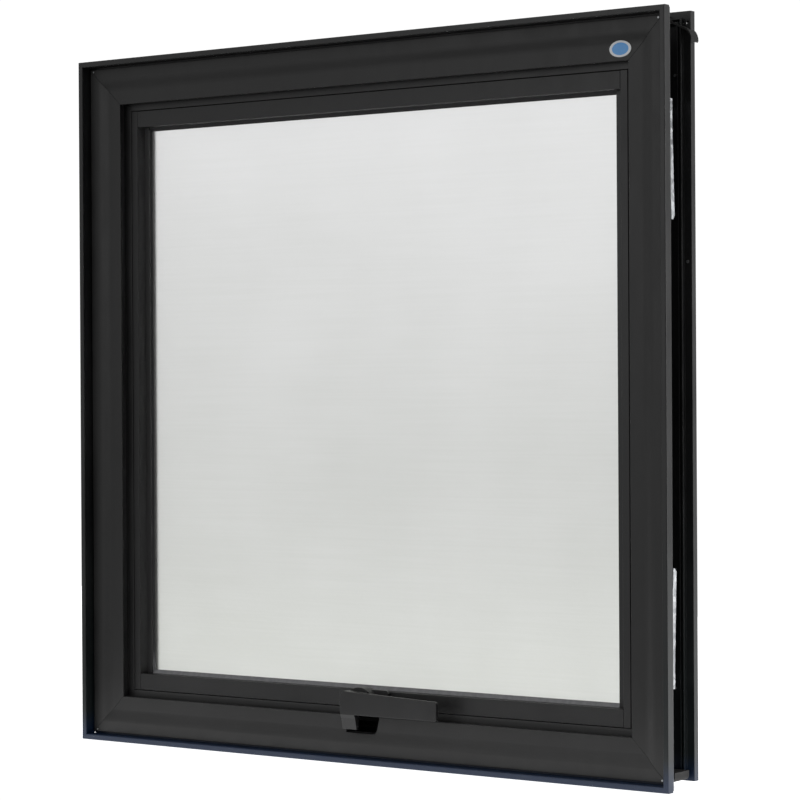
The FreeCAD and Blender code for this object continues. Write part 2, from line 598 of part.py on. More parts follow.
def bead_clip(u0, v0):
    """Foot of a bead's outer leg, hooked over the sash tube's edge."""
    back, front = v0 + CLIP_V + CLIP, v0 + CLIP_V
    return [(u0 + BEAD_WALL, back), (u0 - BEAD_GAP, back), (u0 - BEAD_GAP, front), (u0, front)]


def level_bead(side):
    """Glazing bead of the bottom or top rail: a channel with its legs towards the glass."""
    u0, u1, v0, v1 = BEAD_U, BEAD_EDGE, SASH_V, BEAD_BACK
    length = WIDTH - 2 * (u0 + BEAD_FLAT_SIDE + BEAD_JOINT)
    outline = [(u0, v0), (u1, v0), (u1, v1), (u1 - BEAD_WALL, v1), (u1 - BEAD_WALL, v0 + BEAD_WALL),
               (u0 + BEAD_WALL, v0 + BEAD_WALL)] + bead_clip(u0, v0)
    return place(soften(bar(length, outline), BEAD_ROUND, [(u0, v0), (u1, v0)]), side)


def upright_bead(side):
    """Glazing bead of a stile: flat, bevel and ledge; only the flat passes the level beads."""
    u0, u1, v0, v1 = BEAD_U, BEAD_EDGE, SASH_V, BEAD_BACK
    flat_u, ledge_v = u0 + BEAD_FLAT_SIDE, SASH_V + BEAD_LEDGE_V
    ledge_u = flat_u + BEAD_BEVEL
    outline = [(u0, v0), (flat_u, v0), (ledge_u, ledge_v), (u1, ledge_v), (u1, v1),
               (ledge_u - BEAD_BEVEL_BACK, v1), (flat_u - BEAD_BEVEL_BACK, v0 + BEAD_WALL),
               (u0 + BEAD_WALL, v0 + BEAD_WALL)] + bead_clip(u0, v0)
    bead = soften(bar(HEIGHT - 2 * u0, outline), BEAD_ROUND, [(u0, v0), (flat_u, v0)])
    bead = place(bead, side)
    x_in = WIDTH / 2 - flat_u
    end = u1 + REST_GAP
    for z0, z1 in ((0, end), (HEIGHT - end, HEIGHT)):
        bead = bead.cut(box(-x_in, x_in, 0, DEPTH, z0, z1))
    return bead


def setting_blocks():
    """Packers between the pane's edge and the rebate."""
    u0, u1 = SASH_IN, GLASS_INSET
    v0, v1 = GLASS_V, GLASS_BACK
    low, tall = BLOCK_HALF_LEVEL, BLOCK_HALF_UPRIGHT
    level = [box(x - low, x + low, v0, v1, u0, u1) for x in (-WIDTH / 4, WIDTH / 4)]
    upright = [side_box(u0, u1, v0, v1, z - tall, z + tall) for z in (HEIGHT / 4, HEIGHT * 3 / 4)]
    return group(level + [flip_z(b) for b in level] + upright + [flip_x(b) for b in upright])


# ---------------------------------------------------------------- stays, drawn for the right side

def strip(x0, x1, z_low, z_high):
    """Flat strip with round ends, centred on the stay's line."""
    half = STAY_STRIP / 2
    return fuse([box(x0, x1, STAY_V - half, STAY_V + half, z_low, z_high),
                 rod(half, (x0, STAY_V, z_low), (x1, STAY_V, z_low)),
                 rod(half, (x0, STAY_V, z_high), (x1, STAY_V, z_high))])


def across(radius, x0, x1, z):
    return rod(radius, (x0, STAY_V, z), (x1, STAY_V, z))


def track_screw_places():
    parked = SASH_PIVOT_Z - SHOE_LENGTH - TRACK_SCREW_PAST_SHOE
    return [FRAME_PIVOT_Z - TRACK_SCREW_LOW, FRAME_PIVOT_Z + TRACK_SCREW_MIDDLE, parked]


def stay_track():
    """Lipped channel on the jamb's web, with the fixed pivot at its lower end."""
    v0, v1 = STAY_V - STAY_STRIP / 2, STAY_V + STAY_STRIP / 2
    x_base, x_top = WEB_X - TRACK_BASE, WEB_X - TRACK_HEIGHT
    reach = TRACK_SIDE + TRACK_LIP
    pieces = [box(x_base, WEB_X, v0, v1, TRACK_BOTTOM, TRACK_END)]
    for near, far in ((v0, v0 + TRACK_SIDE), (v1 - TRACK_SIDE, v1)):
        pieces.append(box(x_top, x_base, near, far, TRACK_BOTTOM, TRACK_END))
    for near, far in ((v0, v0 + reach), (v1 - reach, v1)):
        pieces.append(box(x_top, x_top + TRACK_LIP_THICK, near, far, TRACK_BOTTOM, TRACK_END))
    track = fuse(pieces)
    for z in track_screw_places():
        track = track.cut(across(STAY_SCREW_R, x_base - CLEAR, WEB_X + CLEAR, z))
    return track.cut(across(PIVOT_R, x_base - CLEAR, WEB_X + CLEAR, FRAME_PIVOT_Z))


def strip_screw(tip_x, seat_x, head_x, z):
    """Screw across the stay, from its tip to the seat of its head."""
    return fuse([across(STAY_SCREW_R, min(tip_x, seat_x), max(tip_x, seat_x), z),
                 across(STAY_SCREW_HEAD_R, min(seat_x, head_x), max(seat_x, head_x), z)])


def track_screws():
    seat = WEB_X - TRACK_BASE
    right = [strip_screw(WEB_X, seat, seat - STAY_SCREW_HEAD, z) for z in track_screw_places()]
    return group(right + [flip_x(screw) for screw in right])


def frame_pivot():
    """Rivet in the track that the arm turns on."""
    arm_in = ARM_X1 - PIVOT_SIDE_PLAY
    return fuse([across(PIVOT_R, arm_in, WEB_X, FRAME_PIVOT_Z),
                 across(PIVOT_SPACER_R, ARM_X2 + PIVOT_SIDE_PLAY, WEB_X - TRACK_BASE, FRAME_PIVOT_Z),
                 across(PIVOT_HEAD_R, arm_in - PIVOT_HEAD, arm_in, FRAME_PIVOT_Z)])


def stay_arm(sash_play):
    arm = strip(ARM_X1, ARM_X2, FRAME_PIVOT_Z, SASH_PIVOT_Z)
    arm = arm.cut(across(PIVOT_R + PIVOT_PLAY, ARM_X1 - CLEAR, ARM_X2 + CLEAR, FRAME_PIVOT_Z))
    return arm.cut(across(PIVOT_R + sash_play, ARM_X1 - CLEAR, ARM_X2 + CLEAR, SASH_PIVOT_Z))


def sash_bar():
    """Bar screwed to the stile's edge; it carries the shoe's pin and the arm's pin."""
    face = STILE_X + STRIP_THICK
    plate = strip(STILE_X, face, SASH_PIVOT_Z - STAY_STRIP, SHOE_Z - BAR_TOP_SET)
    for z in (SHOE_Z, SASH_PIVOT_Z):
        plate = plate.cut(across(PIVOT_R, STILE_X - CLEAR, face + CLEAR, z))
    for z in bar_screw_places():
        plate = plate.cut(across(STAY_SCREW_R, STILE_X - CLEAR, face + CLEAR, z))
    return plate


def bar_screw_places():
    return [SASH_PIVOT_Z + STAY_ARM * share for share in (0.25, 0.5, 0.75)]


def bar_screws():
    face = STILE_X + STRIP_THICK
    right = [strip_screw(STILE_X, face, face + STAY_SCREW_HEAD, z) for z in bar_screw_places()]
    return group(right + [flip_x(screw) for screw in right])


def sash_pins():
    """Shoe pin and arm pin, riveted in the sash bar."""
    shoe_end = WEB_X - TRACK_BASE - SHOE_PROUD
    arm_end = ARM_X2 + PIVOT_SIDE_PLAY
    shoe_pin = fuse([across(PIVOT_R, STILE_X, shoe_end, SHOE_Z),
                     across(PIVOT_SPACER_R, STILE_X + STRIP_THICK, ARM_X2, SHOE_Z)])
    arm_pin = fuse([across(PIVOT_R, STILE_X, arm_end, SASH_PIVOT_Z),
                    across(PIVOT_HEAD_R, arm_end, arm_end + TRACK_LIP_THICK, SASH_PIVOT_Z)])
    return [shoe_pin, arm_pin]


def stay_shoe():
    """Nylon shoe that slides in the track."""
    half = STAY_STRIP / 2
    z0, z1 = SHOE_Z - SHOE_LENGTH / 2, SHOE_Z + SHOE_LENGTH / 2
    wide = half - TRACK_SIDE - SHOE_PLAY
    narrow = wide - TRACK_LIP
    x_low = WEB_X - TRACK_BASE - SHOE_PLAY
    x_lip = WEB_X - TRACK_HEIGHT + TRACK_LIP_THICK + SHOE_PLAY
    x_out = WEB_X - TRACK_HEIGHT - SHOE_PROUD
    shoe = fuse([box(x_lip, x_low, STAY_V - wide, STAY_V + wide, z0, z1),
                 box(x_out, x_lip, STAY_V - narrow, STAY_V + narrow, z0, z1)])
    return shoe.cut(across(PIVOT_R + PIVOT_PLAY, x_out - CLEAR, x_low + CLEAR, SHOE_Z))


# ---------------------------------------------------------------- handle

def handle_rod(radius, v0, v1):
    return rod(radius, (HANDLE_X, v0, HANDLE_Z), (HANDLE_X, v1, HANDLE_Z))


def handle_lever():
    """Cast lever: front plate, hub behind its left end and the nose that bears on the frame."""
    left, right, hub_right = HANDLE_X - PLATE_LEFT_R, HANDLE_X + PLATE_REACH, HANDLE_X + PLATE_LEFT_R
    top_left, top_right = HANDLE_Z + PLATE_UP_LEFT, HANDLE_Z + PLATE_UP_RIGHT
    plate = extrude(polygon([V(left, PLATE_V, PLATE_BOTTOM), V(right, PLATE_V, PLATE_BOTTOM),
                             V(right, PLATE_V, top_right), V(left, PLATE_V, top_left)]),
                    V(0, PLATE_THICK, 0))
    corners = [e for e in plate.Edges if e.BoundBox.XMin > right - TOUCH and e.BoundBox.ZLength < TOUCH]
    plate = plate.makeFillet(PLATE_CORNER, corners)
    hub = extrude(polygon([V(left, PLATE_V, PLATE_BOTTOM), V(hub_right, PLATE_V, PLATE_BOTTOM),
                           V(hub_right, PLATE_V, top_left - HUB_FALL), V(left, PLATE_V, top_left)]),
                  V(0, HUB_BACK - PLATE_V, 0))
    low = PLATE_BOTTOM - CLEAR
    keep = fuse([handle_rod(PLATE_LEFT_R, 0, HUB_BACK),
                 box(NOSE_X, HANDLE_X, 0, HUB_BACK, low, HANDLE_Z),
                 box(HANDLE_X, right + CLEAR, 0, HUB_BACK, low, top_left)])
    lever = fuse([fuse([plate, hub]).common(keep), nose()])
    nose_right = NOSE_X + NOSE_WIDTH
    rim = [e for e in lever.Edges
           if e.BoundBox.YMax < PLATE_V + TOUCH and e.BoundBox.ZMin > PLATE_BOTTOM - TOUCH
           and (e.BoundBox.ZMin > PLATE_BOTTOM + NOSE_ROOT or e.BoundBox.XMin > nose_right - TOUCH)]
    lever = lever.makeFillet(PLATE_ROUND, rim)
    return lever.cut(handle_rod(HANDLE_PIN_R, PLATE_V + HANDLE_PIN_DEPTH, HUB_BACK + CLEAR))


def nose():
    """Tab below the plate's left end; its face leans back towards the tip."""
    root = PLATE_BOTTOM + NOSE_ROOT
    side = [(PLATE_V, root), (PLATE_V, PLATE_BOTTOM), (PLATE_V + NOSE_SHOULDER, PLATE_BOTTOM - NOSE_ROOT),
            (PLATE_V + NOSE_LEAN, NOSE_BOTTOM), (NOSE_BACK, NOSE_BOTTOM), (NOSE_BACK, root)]
    return extrude(polygon([V(NOSE_X, v, z) for v, z in side]), V(NOSE_WIDTH, 0, 0))


def handle_pin():
    """Pivot pin, fast in the lever, with its retaining disc in the base's counterbore."""
    disc_v = BASE_V + PIN_DISC_PLAY
    return fuse([handle_rod(HANDLE_PIN_R, PLATE_V + HANDLE_PIN_DEPTH, disc_v + PIN_DISC),
                 handle_rod(PIN_DISC_R, disc_v, disc_v + PIN_DISC)])


def handle_washer():
    bore = handle_rod(HANDLE_PIN_R + HANDLE_PIN_PLAY, 0, DEPTH)
    return handle_rod(WASHER_R, HUB_BACK + REST_GAP, BOSS_V).cut(bore)


def base_screw_places():
    return [(sign * (BASE_HALF - BASE_SCREW_INSET), (BASE_BOTTOM + BASE_TOP) / 2) for sign in (-1, 1)]


def handle_base():
    """Housing on the bottom rail: foot plate and domed boss with the pivot's bore."""
    plate = box(-BASE_HALF, BASE_HALF, BASE_V, SASH_V, BASE_BOTTOM, BASE_TOP)
    corners = [e for e in plate.Edges if e.BoundBox.XLength < TOUCH and e.BoundBox.ZLength < TOUCH]
    plate = plate.makeFillet(BASE_CORNER, corners)
    top = HANDLE_Z + BOSS_UP
    shoulder = top - BOSS_DOME
    a, b = V(-BOSS_HALF, BOSS_V, BASE_BOTTOM), V(BOSS_HALF, BOSS_V, BASE_BOTTOM)
    c, d = V(BOSS_HALF, BOSS_V, shoulder), V(-BOSS_HALF, BOSS_V, shoulder)
    dome = Part.Arc(c, V(0, BOSS_V, top), d).toShape()
    sides = [Part.LineSegment(p, q).toShape() for p, q in ((a, b), (b, c), (d, a))]
    boss = extrude([sides[0], sides[1], dome, sides[2]], V(0, SASH_V - BOSS_V, 0))
    base = fuse([plate, boss])
    base = base.cut(handle_rod(HANDLE_PIN_R + HANDLE_PIN_PLAY, 0, SASH_V))
    base = base.cut(handle_rod(PIN_DISC_R + PIN_DISC_PLAY, BASE_V, SASH_V + CLEAR))
    for x, z in base_screw_places():
        base = base.cut(rod(RIVET_R, (x, 0, z), (x, SASH_V + CLEAR, z)))
    return base


def base_screws():
    head = BASE_V - BASE_SCREW_HEAD
    return group([fuse([rod(RIVET_R, (x, BASE_V, z), (x, SASH_V, z)),
                        rod(BASE_SCREW_HEAD_R, (x, head, z), (x, BASE_V, z))])
                  for x, z in base_screw_places()])


# ---------------------------------------------------------------- write the pieces

def save(name, shape):
    shape = shape.copy()
    shape.translate(V(0, -DEPTH / 2, 0))
    shape.exportStep("parts/" + name + ".step")


def main():
    os.makedirs("parts", exist_ok=True)
    sides = {"head": "head", "sill": "sill", "left": "jamb_left", "right": "jamb_right"}
    rails = {"head": "top_rail", "sill": "bottom_rail", "left": "stile_left", "right": "stile_right"}
    for side in sides:
        save("frame_" + sides[side], frame_member(side))
        save("trim_" + side, trim_member(side))
        save("sash_" + rails[side], sash_member(side))
    save("frame_corner_cleats", frame_cleats())
    save("trim_pins", trim_pins())
    save("frame_seal", frame_seal())
    save("latch_keeper", latch_keeper())
    save("keeper_screws", keeper_screws())
    save("sealing_flaps", group([sealing_flap(), flip_x(sealing_flap())]))
    save("corner_plugs", group([corner_plug(), flip_x(corner_plug())]))
    save("trim_label", trim_label())
    save("flange_screws", flange_screws())

    save("anchor_roots", group(at_four_places([anchor_root()])))
    save("anchor_rivets", group(at_four_places(anchor_rivet())))
    strap_names = ["top_right", "bottom_right", "top_left", "bottom_left"]
    for name, strap in zip(strap_names, at_four_places([anchor_strap()])):
        save("anchor_strap_" + name, strap)

    save("sash_corner_cleats", sash_cleats())
    save("glass_pane", glass_pane())
    save("glazing_seal_inner", inner_seal())
    save("glazing_seal_outer", outer_seal())
    save("setting_blocks", setting_blocks())
    save("bead_bottom", level_bead("sill"))
    save("bead_top", level_bead("head"))
    save("bead_left", upright_bead("left"))
    save("bead_right", upright_bead("right"))

    for side, turn, play in (("right", lambda s: s, PIVOT_PLAY), ("left", flip_x, OPEN_PIVOT_PLAY)):
        save("stay_track_" + side, turn(stay_track()))
        save("stay_pivot_" + side, turn(frame_pivot()))
        save("stay_arm_" + side, turn(stay_arm(play)))
        save("stay_bar_" + side, turn(sash_bar()))
        save("stay_pins_" + side, group([turn(pin) for pin in sash_pins()]))
        save("stay_shoe_" + side, turn(stay_shoe()))
    save("track_screws", track_screws())
    save("bar_screws", bar_screws())

    save("handle_base", handle_base())
    save("handle_base_screws", base_screws())
    save("handle_washer", handle_washer())
    save("handle_lever", handle_lever())
    save("handle_pin", handle_pin())


main()
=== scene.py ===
import json
import math

import bpy
from mathutils import Matrix, Vector


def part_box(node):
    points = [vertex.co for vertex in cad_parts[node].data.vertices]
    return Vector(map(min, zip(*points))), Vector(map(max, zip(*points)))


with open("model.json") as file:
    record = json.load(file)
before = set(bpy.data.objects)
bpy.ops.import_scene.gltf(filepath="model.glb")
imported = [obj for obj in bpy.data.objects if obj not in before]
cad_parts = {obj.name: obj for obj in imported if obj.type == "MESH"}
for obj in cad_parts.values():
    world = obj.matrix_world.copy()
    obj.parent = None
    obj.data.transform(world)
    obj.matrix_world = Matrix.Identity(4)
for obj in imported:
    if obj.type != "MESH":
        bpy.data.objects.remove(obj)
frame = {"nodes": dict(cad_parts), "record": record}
NODES = frame["nodes"]
MM = 0.001

BEVEL_SAMPLES = 6
PAINT = (0.0105, 0.0108, 0.0112)           # satin black of the outer frame
TRIM_PAINT = (0.0105, 0.0105, 0.0106)
SASH_PAINT = (0.015, 0.0151, 0.0153)       # a little lighter than the frame: painted light on the sash
BEAD_PAINT = (0.011, 0.011, 0.0114)
HANDLE_PAINT = (0.013, 0.013, 0.0135)
DUST = (0.09, 0.09, 0.088)
BARE_EDGE = (0.12, 0.12, 0.125)            # paint rubbed thin along an edge
# near-black painted shade on the sash's face behind the keeper, and how far it reaches
CATCH_SHADE = (0.002, 0.002, 0.002)
CATCH_SHADE_REACH = 20 * MM
LOW_BLUE = (0.006, 0.018, 0.050)           # cast of the lowest stretch of the frame
LOW_TEAL = (0.004, 0.009, 0.0095)          # fainter cast above it
# glass tone at the bottom, darkened by painted shade, and at the top
GLASS_SHADED_LOW, GLASS_HIGH = (0.560, 0.572, 0.545), (0.82, 0.824, 0.824)

SURROUND_FROM = (-0.60, -0.45, 0.66)       # the side that most of the soft light comes from
SURROUND_STRENGTH = (0.04, 0.55)           # away from that side, and towards it
BACKDROP_FROM = (-0.25, 0.94, 0.22)        # the white backdrop behind the window, which ledges mirror
BACKDROP_STRENGTH = 0.70
BACKDROP_SEEN = 1.05                       # strength to the eye and through the glass
FLOOR_REACH = (1.6, 0.12, 1.4)             # to each side, towards the room and away from it
FLOOR_COLOR = (0.93, 0.93, 0.93)
FLOOR_GLOW = 0.85

# name, place, aim, width and height in metres, power in watts
SOFT_BOXES = [
    ("overhead", (-0.2, -0.1, 2.4), (0, 0, 0.2), (2.4, 1.6), 9.0),
    ("front", (-0.45, -1.7, 0.8), (0, 0, 0.3), (0.8, 1.3), 2.2),
    ("behind_right", (2.2, 0.9, 0.7), (0.3, 0, 0.3), (0.7, 1.6), 23.0),
]

CAMERA_PLACE = (1.3514, -1.8208, 0.3081)
CAMERA_LENS, CAMERA_SENSOR = 122.9, 36.0   # millimetres
CAMERA_YAW, CAMERA_PITCH, CAMERA_ROLL = (math.radians(angle) for angle in (35.89, -0.21, -0.32))
FARTHEST_SEEN = 200.0


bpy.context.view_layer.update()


# ---------------------------------------------------------------- shader building

class Shader:
    """A material with one Principled shader and short calls to add nodes to it."""

    def __init__(self, name, color, rough, metal=0.0, **sockets):
        self.material = bpy.data.materials.new(name)
        self.material.use_nodes = True
        self.tree = self.material.node_tree
        self.surface = self.tree.nodes["Principled BSDF"]
        self.set("Base Color", (*color, 1.0))
        self.set("Roughness", rough)
        self.set("Metallic", metal)
        for socket, value in sockets.items():
            self.set(socket.replace("_", " "), value)
        self.coords = self.node("TexCoord").outputs["Object"]

    def node(self, kind, **settings):
        made = self.tree.nodes.new("ShaderNode" + kind)
        for key, value in settings.items():
            setattr(made, key, value)
        return made

    def set(self, socket, value):
        self.surface.inputs[socket].default_value = value

    def link(self, source, target):
        self.tree.links.new(source, target)

    def feed(self, source, socket):
        self.link(source, self.surface.inputs[socket])

    def stretched(self, scale):
        """Object coordinates stretched by a factor along each axis."""
        mapping = self.node("Mapping")
        mapping.inputs["Scale"].default_value = scale
        self.link(self.coords, mapping.inputs["Vector"])
        return mapping.outputs["Vector"]

    def noise(self, size, detail=3.0, vector=None, roughness=0.55):
        """Noise whose features are about size metres across."""
        made = self.node("TexNoise")
        made.inputs["Scale"].default_value = 1.0 / size
        made.inputs["Detail"].default_value = detail
        made.inputs["Roughness"].default_value = roughness
        self.link(vector or self.coords, made.inputs["Vector"])
        return made.outputs["Fac"]

    def cells(self, size, feature="F1", output="Distance", vector=None):
        made = self.node("TexVoronoi", feature=feature)
        made.inputs["Scale"].default_value = 1.0 / size
        self.link(vector or self.coords, made.inputs["Vector"])
        return made.outputs[output]

    def remap(self, value, low, high, to_low, to_high):
        made = self.node("MapRange")
        for socket, number in zip(("From Min", "From Max", "To Min", "To Max"), (low, high, to_low, to_high)):
            made.inputs[socket].default_value = number
        self.link(value, made.inputs["Value"])
        return made.outputs["Result"]

    def math(self, operation, a, b=None, clamp=False):
        made = self.node("Math", operation=operation, use_clamp=clamp)
        for value, socket in zip((a, b), made.inputs):
            if isinstance(value, (int, float)):
                socket.default_value = value
            elif value is not None:
                self.link(value, socket)
        return made.outputs["Value"]

    def mix(self, factor, a, b):
        """Colour between a and b, each a colour or a socket."""
        made = self.node("Mix", data_type="RGBA")
        self.link(factor, made.inputs["Factor"])
        for value, name in ((a, "A"), (b, "B")):
            socket = [s for s in made.inputs if s.name == name and s.type == "RGBA"][0]
            if isinstance(value, tuple):
                socket.default_value = (*value, 1.0)
            else:
                self.link(value, socket)
        return [s for s in made.outputs if s.type == "RGBA"][0]

    def soft_edges(self, radius):
        """Normal that rounds the sharp edges of a section over radius metres."""
        made = self.node("Bevel", samples=BEVEL_SAMPLES)
        made.inputs["Radius"].default_value = radius
        return made.outputs["Normal"]

    def axis(self, letter):
        """One coordinate of the point, in metres."""
        split = self.node("SeparateXYZ")
        self.link(self.coords, split.inputs[0])
        return split.outputs[letter]

    def edge_mask(self, radius, low=0.02, high=0.25):
        """1 along convex and concave edges, 0 on flats."""
        rounded = self.soft_edges(radius)
        flat = self.node("NewGeometry").outputs["Normal"]
        dot = self.node("VectorMath", operation="DOT_PRODUCT")
        self.link(rounded, dot.inputs[0])
        self.link(flat, dot.inputs[1])
        return self.remap(self.math("SUBTRACT", 1.0, dot.outputs["Value"]), low, high, 0.0, 1.0)

    def bump(self, height, depth, strength=1.0, normal=None):
        made = self.node("Bump")
        made.inputs["Strength"].default_value = strength
        made.inputs["Distance"].default_value = depth
        self.link(height, made.inputs["Height"])
        if normal is not None:
            self.link(normal, made.inputs["Normal"])
        return made.outputs["Normal"]


def powder_coat(name, color, rough, edge=0.35 * MM, wear=0.5, low_cast=None, shade_at=None):
    """Satin black paint: fine orange peel, cloudy gloss, a little dust and thin worn edges."""
    s = Shader(name, color, rough, Specular_IOR_Level=0.5)
    cloud = s.noise(70 * MM, 4.0)
    smear = s.noise(9 * MM, 5.0, s.stretched((1.0, 1.0, 0.35)))
    speck = s.remap(s.noise(0.9 * MM, 2.0), 0.70, 0.78, 0.0, 1.0)
    lighter = tuple(channel * 1.7 + 0.004 for channel in color)
    clouded = s.mix(s.remap(cloud, 0.35, 0.7, 0.0, 0.45), color, lighter)
    painted = s.mix(s.math("MULTIPLY", speck, 0.35), clouded, DUST)
    if low_cast:
        painted = s.mix(s.remap(s.axis("Z"), 10 * MM, 260 * MM, 0.7, 0.0), painted, LOW_TEAL)
        painted = s.mix(s.remap(s.axis("Z"), 5 * MM, 26 * MM, 1.0, 0.0), painted, low_cast)
    rubbed = s.remap(smear, 0.45, 0.7, 0.1 * wear, wear)
    worn = s.math("MULTIPLY", s.edge_mask(edge * 1.6), rubbed, clamp=True)
    painted = s.mix(worn, painted, BARE_EDGE)
    # painted shade behind the catch: near-black colour, with the gloss taken down
    if shade_at:
        away = s.node("VectorMath", operation="DISTANCE")
        s.link(s.coords, away.inputs[0])
        away.inputs[1].default_value = shade_at
        shaded = s.remap(away.outputs["Value"], CATCH_SHADE_REACH, CATCH_SHADE_REACH * 0.7, 0.0, 1.0)
        painted = s.mix(shaded, painted, CATCH_SHADE)
        s.feed(s.remap(shaded, 0.0, 1.0, 0.5, 0.03), "Specular IOR Level")
    s.feed(painted, "Base Color")
    gloss = s.math("ADD", s.remap(cloud, 0.3, 0.7, rough - 0.05, rough + 0.07),
                   s.remap(smear, 0.3, 0.7, -0.03, 0.05))
    s.feed(gloss, "Roughness")
    peel = s.math("ADD", s.noise(1.1 * MM, 2.0), s.math("MULTIPLY", s.noise(4.5 * MM, 2.0), 1.5))
    s.feed(s.bump(peel, 0.02 * MM, 0.5, s.soft_edges(edge)), "Normal")
    return s.material


def textured_glass():
    """Pale privacy glass with a fine rolled relief, and painted shade that makes it darker and greyer towards
    the bottom.
    """
    s = Shader("rolled_glass", (0.93, 0.945, 0.94), 0.34, IOR=1.5, Transmission_Weight=0.94)
    relief = s.math("ADD", s.cells(3.2 * MM, "SMOOTH_F1"), s.math("MULTIPLY", s.noise(6 * MM, 2.0), 0.8))
    ribs = s.noise(2.2 * MM, 1.0, s.stretched((0.02, 0.02, 1.0)))
    height = s.math("ADD", relief, s.math("MULTIPLY", ribs, 0.35))
    s.feed(s.bump(height, 0.12 * MM, 0.35), "Normal")
    s.feed(s.remap(s.noise(120 * MM, 3.0), 0.3, 0.7, 0.30, 0.38), "Roughness")
    # painted shade: the glass darkens towards the bottom
    rise = s.remap(s.axis("Z"), 60 * MM, 540 * MM, 0.0, 1.0)
    patchy = s.math("ADD", rise, s.remap(s.noise(160 * MM, 2.0), 0.3, 0.7, -0.08, 0.08), clamp=True)
    banded = s.math("ADD", patchy, s.remap(ribs, 0.3, 0.7, -0.05, 0.05), clamp=True)
    s.feed(s.mix(banded, GLASS_SHADED_LOW, GLASS_HIGH), "Base Color")
    return s.material


def gasket():
    """Glazing gasket: grey, satin, and painted light grey where it lies level, standing for light from above,
    with dust mottling it.
    """
    s = Shader("gasket_rubber", (0.07, 0.07, 0.075), 0.42)
    drag = s.noise(5 * MM, 4.0)
    # the low, level stretch is painted lighter: painted light from above, mottled like dust
    level = s.remap(s.axis("Z"), 80 * MM, 60 * MM, 0.0, 1.0)
    dust = s.mix(s.remap(drag, 0.4, 0.75, 0.0, 0.7), (0.20, 0.20, 0.21), (0.30, 0.30, 0.31))
    s.feed(s.mix(level, (0.022, 0.022, 0.023), dust), "Base Color")
    s.feed(s.remap(drag, 0.3, 0.7, 0.36, 0.52), "Roughness")
    s.feed(s.bump(s.noise(0.35 * MM, 3.0), 0.03 * MM, 0.6), "Normal")
    return s.material


def rubber(name, color, rough=0.62):
    s = Shader(name, color, rough)
    grain = s.noise(0.35 * MM, 3.0)
    drag = s.noise(5 * MM, 4.0)
    dusty = tuple(channel * 2.0 + 0.01 for channel in color)
    s.feed(s.mix(s.remap(drag, 0.4, 0.75, 0.0, 0.6), color, dusty), "Base Color")
    s.feed(s.remap(drag, 0.3, 0.7, rough - 0.08, rough + 0.12), "Roughness")
    s.feed(s.bump(grain, 0.03 * MM, 0.6), "Normal")
    return s.material


def galvanised():
    """Zinc-dipped sheet: crystal spangle, dull patches and drawn edges."""
    s = Shader("galvanised_sheet", (0.62, 0.64, 0.66), 0.42, 1.0)
    spangle = s.cells(5 * MM, "F1", "Color")
    split = s.node("SeparateColor")
    s.link(spangle, split.inputs[0])
    flake = split.outputs[0]
    dull = s.noise(18 * MM, 4.0)
    s.feed(s.mix(flake, (0.50, 0.52, 0.54), (0.74, 0.755, 0.77)), "Base Color")
    s.feed(s.math("ADD", s.remap(flake, 0.0, 1.0, 0.30, 0.46),
                  s.remap(dull, 0.4, 0.7, 0.0, 0.14)), "Roughness")
    s.feed(s.bump(s.noise(0.8 * MM, 3.0), 0.02 * MM, 0.5, s.soft_edges(0.25 * MM)), "Normal")
    return s.material


def brushed(name, color, rough, grain_axis):
    """Drawn or brushed metal with its grain along one axis."""
    s = Shader(name, color, rough, 1.0)
    scale = [1.0, 1.0, 1.0]
    scale[grain_axis] = 0.03
    streaks = s.noise(0.5 * MM, 3.0, s.stretched(tuple(scale)))
    stain = s.noise(14 * MM, 4.0)
    darker = tuple(c * 0.72 for c in color)
    s.feed(s.mix(s.remap(stain, 0.45, 0.75, 0.0, 0.8), color, darker), "Base Color")
    s.feed(s.math("ADD", s.remap(streaks, 0.3, 0.7, rough - 0.07, rough + 0.09),
                  s.remap(stain, 0.4, 0.7, 0.0, 0.08)), "Roughness")
    s.feed(s.bump(streaks, 0.015 * MM, 0.5, s.soft_edges(0.2 * MM)), "Normal")
    return s.material


def nylon():
    s = Shader("black_nylon", (0.02, 0.02, 0.021), 0.45)
    s.feed(s.remap(s.noise(3 * MM, 3.0), 0.3, 0.7, 0.38, 0.54), "Roughness")
    s.feed(s.bump(s.noise(0.5 * MM, 2.0), 0.02 * MM, 0.5, s.soft_edges(0.2 * MM)), "Normal")
    return s.material


def sticker(node):
    """Blue film with a white rim and nothing printed on it."""
    low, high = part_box(node)
    centre = (low + high) / 2
    s = Shader("plain_sticker", (0.03, 0.22, 0.62), 0.32, Coat_Weight=0.4, Coat_Roughness=0.15)
    place = s.node("Mapping")
    place.vector_type = "POINT"
    half = ((high.x - low.x) / 2, 1.0, (high.z - low.z) / 2)
    place.inputs["Location"].default_value = (-centre.x / half[0], 0.0, -centre.z / half[2])
    place.inputs["Scale"].default_value = (1 / half[0], 0.0, 1 / half[2])
    s.link(s.coords, place.inputs["Vector"])
    length = s.node("VectorMath", operation="LENGTH")
    s.link(place.outputs["Vector"], length.inputs[0])
    rim = s.remap(length.outputs["Value"], 0.74, 0.78, 0.0, 1.0)
    blue = s.mix(s.noise(6 * MM, 3.0), (0.07, 0.31, 0.72), (0.13, 0.44, 0.90))
    s.feed(s.mix(rim, blue, (0.82, 0.84, 0.86)), "Base Color")
    s.feed(s.remap(s.noise(4 * MM, 3.0), 0.3, 0.7, 0.26, 0.42), "Roughness")
    s.feed(s.bump(s.noise(2 * MM, 2.0), 0.02 * MM, 0.4), "Normal")
    return s.material


def behind_catch():
    """Middle of the sash's face behind the keeper, where shade is painted."""
    low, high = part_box("latch_keeper")
    return ((low.x + high.x) / 2 + 2 * MM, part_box("sash_bottom_rail")[0].y, high.z - 2 * MM)


